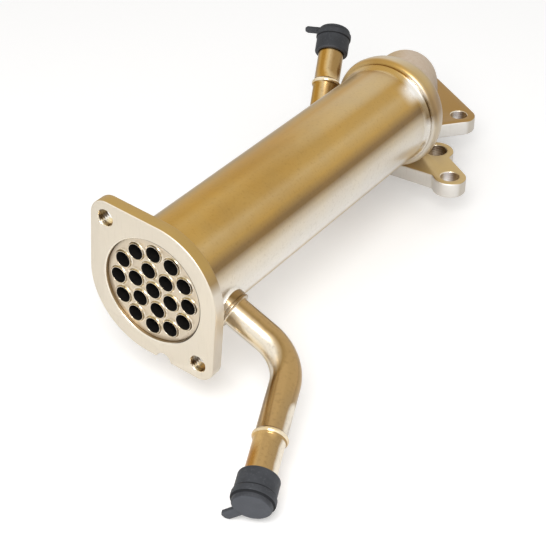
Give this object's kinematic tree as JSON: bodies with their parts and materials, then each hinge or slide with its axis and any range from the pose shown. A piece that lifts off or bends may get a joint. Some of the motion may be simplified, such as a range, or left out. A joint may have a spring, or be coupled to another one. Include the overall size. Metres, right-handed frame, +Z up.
{
  "type": "egr cooler",
  "caption": "Exhaust gas cooler: round steel shell with a bolt flange and tube bundle in front, a cast elbow on a lugged flange behind, and bent coolant pipes closed by rubber caps.",
  "frame": {"origin": "centre of the front bolt circle, on the front gas face", "axes": "+Y along the shell from the front face to the outlet, +Z up and square to the rear flange, +X to the side where the front coolant pipe leaves"},
  "size_m": [0.1951, 0.4061, 0.1086],
  "materials": {
    "machined_steel": "fine machined stainless steel, pale warm grey",
    "brazed_steel": "drawn stainless steel with the warm straw tint of the brazing furnace",
    "cast_steel": "as-cast stainless steel, fine matte grain",
    "rubber": "matte moulded rubber"
  },
  "bodies": {
    "root": {"front_flange": "machined_steel", "front_tube_sheet": "machined_steel", "shell": "brazed_steel", "rear_tube_sheet": "machined_steel", "front_baffle": "brazed_steel", "rear_baffle": "brazed_steel", "gas_collector": "cast_steel", "rear_flange": "machined_steel", "front_pipe_boss": "brazed_steel", "rear_pipe_boss": "brazed_steel", "front_coolant_pipe": "brazed_steel", "rear_coolant_pipe": "brazed_steel", "front_pipe_cap": "rubber", "rear_pipe_cap": "rubber", "gas_tube_01": "brazed_steel", "gas_tube_02": "brazed_steel", "gas_tube_03": "brazed_steel", "gas_tube_04": "brazed_steel", "gas_tube_05": "brazed_steel", "gas_tube_06": "brazed_steel", "gas_tube_07": "brazed_steel", "gas_tube_08": "brazed_steel", "gas_tube_09": "brazed_steel", "gas_tube_10": "brazed_steel", "gas_tube_11": "brazed_steel", "gas_tube_12": "brazed_steel", "gas_tube_13": "brazed_steel", "gas_tube_14": "brazed_steel", "gas_tube_15": "brazed_steel", "gas_tube_16": "brazed_steel", "gas_tube_17": "brazed_steel", "gas_tube_18": "brazed_steel", "gas_tube_19": "brazed_steel"}
  },
  "joints": []
}
